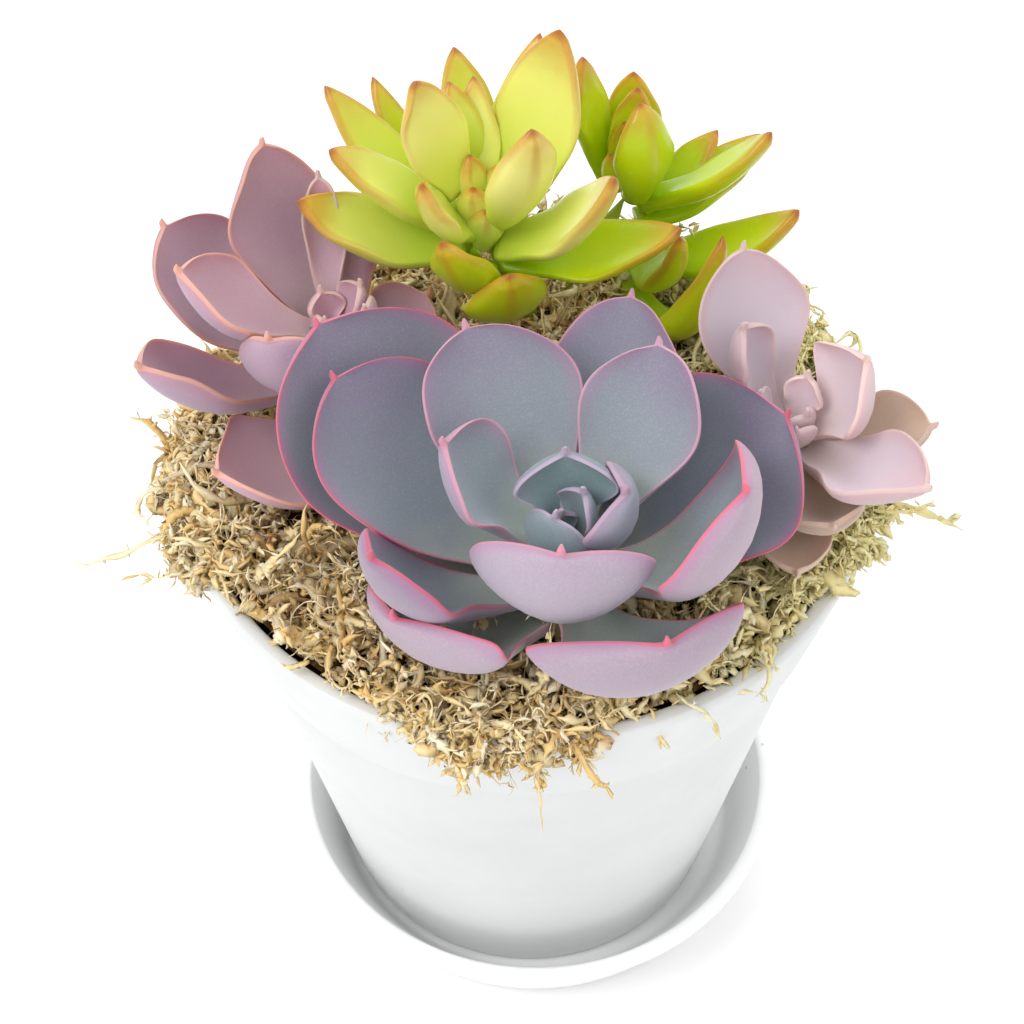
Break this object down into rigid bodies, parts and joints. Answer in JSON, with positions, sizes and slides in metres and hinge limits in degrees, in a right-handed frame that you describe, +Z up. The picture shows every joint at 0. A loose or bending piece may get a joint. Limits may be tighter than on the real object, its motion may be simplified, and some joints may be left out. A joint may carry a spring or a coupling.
{
  "type": "potted succulent arrangement",
  "caption": "Tapered white pot with a thick collar on a saucer, planted with fleshy rosettes and a golden sedum in soil dressed with dried moss.",
  "frame": {"origin": "centre of the saucer's flat underside, on the surface it stands on", "axes": "+Z up; -Y is the front of the pot, where the largest rosette is; +X to the right seen from the front"},
  "size_m": [0.1584, 0.1471, 0.212],
  "materials": {
    "pot_white": "satin",
    "soil": "matte",
    "moss": "matte",
    "blue_plant": "matte",
    "mauve_plant": "matte",
    "pink_plant": "matte",
    "golden_plant": "satin"
  },
  "bodies": {
    "root": {"saucer": "pot_white", "pot": "pot_white", "soil": "soil", "moss": "moss", "blue_stem": "blue_plant", "mauve_stem": "mauve_plant", "pink_stem": "pink_plant", "golden_stem": "golden_plant", "blue_leaf_1": "blue_plant", "blue_leaf_2": "blue_plant", "blue_leaf_3": "blue_plant", "blue_leaf_4": "blue_plant", "blue_leaf_5": "blue_plant", "blue_leaf_6": "blue_plant", "blue_leaf_7": "blue_plant", "blue_leaf_8": "blue_plant", "blue_leaf_9": "blue_plant", "blue_leaf_10": "blue_plant", "blue_leaf_11": "blue_plant", "blue_leaf_12": "blue_plant", "blue_leaf_13": "blue_plant", "blue_leaf_14": "blue_plant", "mauve_leaf_1": "mauve_plant", "mauve_leaf_2": "mauve_plant", "mauve_leaf_3": "mauve_plant", "mauve_leaf_4": "mauve_plant", "mauve_leaf_5": "mauve_plant", "mauve_leaf_6": "mauve_plant", "mauve_leaf_7": "mauve_plant", "mauve_leaf_8": "mauve_plant", "pink_leaf_1": "pink_plant", "pink_leaf_2": "pink_plant", "pink_leaf_3": "pink_plant", "pink_leaf_4": "pink_plant", "pink_leaf_5": "pink_plant", "pink_leaf_6": "pink_plant", "pink_leaf_7": "pink_plant", "golden_leaf_1": "golden_plant", "golden_leaf_2": "golden_plant", "golden_leaf_3": "golden_plant", "golden_leaf_4": "golden_plant", "golden_leaf_5": "golden_plant", "golden_leaf_6": "golden_plant", "golden_leaf_7": "golden_plant", "golden_leaf_8": "golden_plant", "golden_leaf_9": "golden_plant", "golden_leaf_10": "golden_plant", "golden_leaf_11": "golden_plant", "golden_leaf_12": "golden_plant", "golden_leaf_13": "golden_plant", "golden_leaf_14": "golden_plant", "golden_side_leaf_1": "golden_plant", "golden_side_leaf_2": "golden_plant", "golden_side_leaf_3": "golden_plant", "golden_side_leaf_4": "golden_plant", "golden_side_leaf_5": "golden_plant", "golden_side_leaf_6": "golden_plant", "golden_side_leaf_7": "golden_plant", "golden_side_leaf_8": "golden_plant", "golden_side_leaf_9": "golden_plant"}
  },
  "joints": []
}
